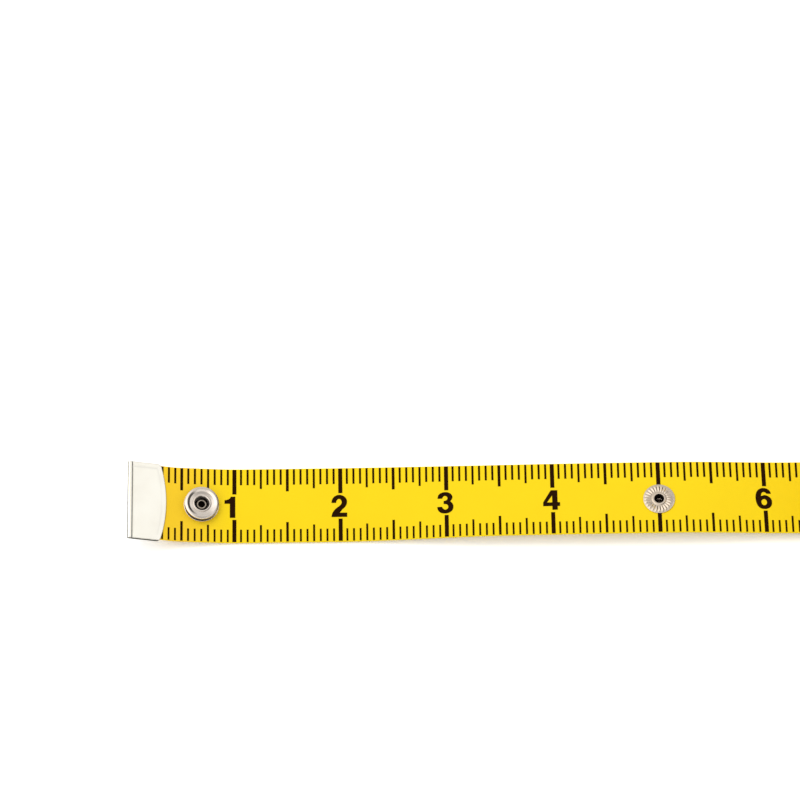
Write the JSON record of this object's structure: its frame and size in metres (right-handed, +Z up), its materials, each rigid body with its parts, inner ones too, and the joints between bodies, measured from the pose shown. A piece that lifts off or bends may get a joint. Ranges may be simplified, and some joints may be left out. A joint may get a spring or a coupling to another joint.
{
  "type": "soft tape measure",
  "caption": "Soft yellow inch tape with a metal end cap and a press stud, its first stretch lying flat and the rest put away in a roll.",
  "frame": {"origin": "centre of the bounding box's bottom face, where the tape rests", "axes": "+X along the tape from its zero end to the roll, +Z up out of the printed face, +Y to the far edge"},
  "size_m": [0.2076, 0.0194, 0.0431],
  "materials": {
    "ribbon_vinyl": "satin",
    "tin_plate": "polished",
    "nickel_plate": "polished",
    "spring_wire": "satin"
  },
  "bodies": {
    "root": {"ribbon_roll": "ribbon_vinyl", "end_cap_finish": "tin_plate"},
    "stretch_5": {"ribbon_stretch_5": "ribbon_vinyl"},
    "stretch_4": {"ribbon_stretch_4": "ribbon_vinyl", "stud_post": "nickel_plate", "stud_eyelet": "nickel_plate"},
    "stretch_3": {"ribbon_stretch_3": "ribbon_vinyl"},
    "stretch_2": {"ribbon_stretch_2": "ribbon_vinyl"},
    "stretch_1": {"ribbon_stretch_1": "ribbon_vinyl"},
    "lead": {"ribbon_lead": "ribbon_vinyl", "end_cap_start": "tin_plate", "socket_base": "nickel_plate", "socket_shell": "nickel_plate", "socket_spring": "spring_wire", "socket_eyelet": "nickel_plate"}
  },
  "joints": [
    {"name": "bend_6", "type": "hinge", "parent": "root", "child": "stretch_5", "pos_m": [0.06513, 0, 0.00079], "axis": [-0.0032, 0.9984, -0.057], "range_deg": [-45, 45], "stiffness_Nm_per_rad": 0.005},
    {"name": "bend_5", "type": "hinge", "parent": "stretch_5", "child": "stretch_4", "pos_m": [0.03717, 0, 0.00222], "axis": [-0.0062, 0.9949, -0.1009], "range_deg": [-45, 45], "stiffness_Nm_per_rad": 0.005},
    {"name": "bend_4", "type": "hinge", "parent": "stretch_4", "child": "stretch_3", "pos_m": [0.00917, 0, 0.0025], "axis": [0.0011, 0.9949, -0.1011], "range_deg": [-45, 45], "stiffness_Nm_per_rad": 0.005},
    {"name": "bend_3", "type": "hinge", "parent": "stretch_3", "child": "stretch_2", "pos_m": [-0.01882, 0, 0.00188], "axis": [0.004, 0.9952, -0.098], "range_deg": [-45, 45], "stiffness_Nm_per_rad": 0.005},
    {"name": "bend_2", "type": "hinge", "parent": "stretch_2", "child": "stretch_1", "pos_m": [-0.04678, 0, 0.0004], "axis": [0.0002, 1, -0.0072], "range_deg": [-45, 45], "stiffness_Nm_per_rad": 0.005},
    {"name": "bend_1", "type": "hinge", "parent": "stretch_1", "child": "lead", "pos_m": [-0.07478, 0, 0.00025], "axis": [0, 1, 0], "range_deg": [-45, 45], "stiffness_Nm_per_rad": 0.005}
  ]
}
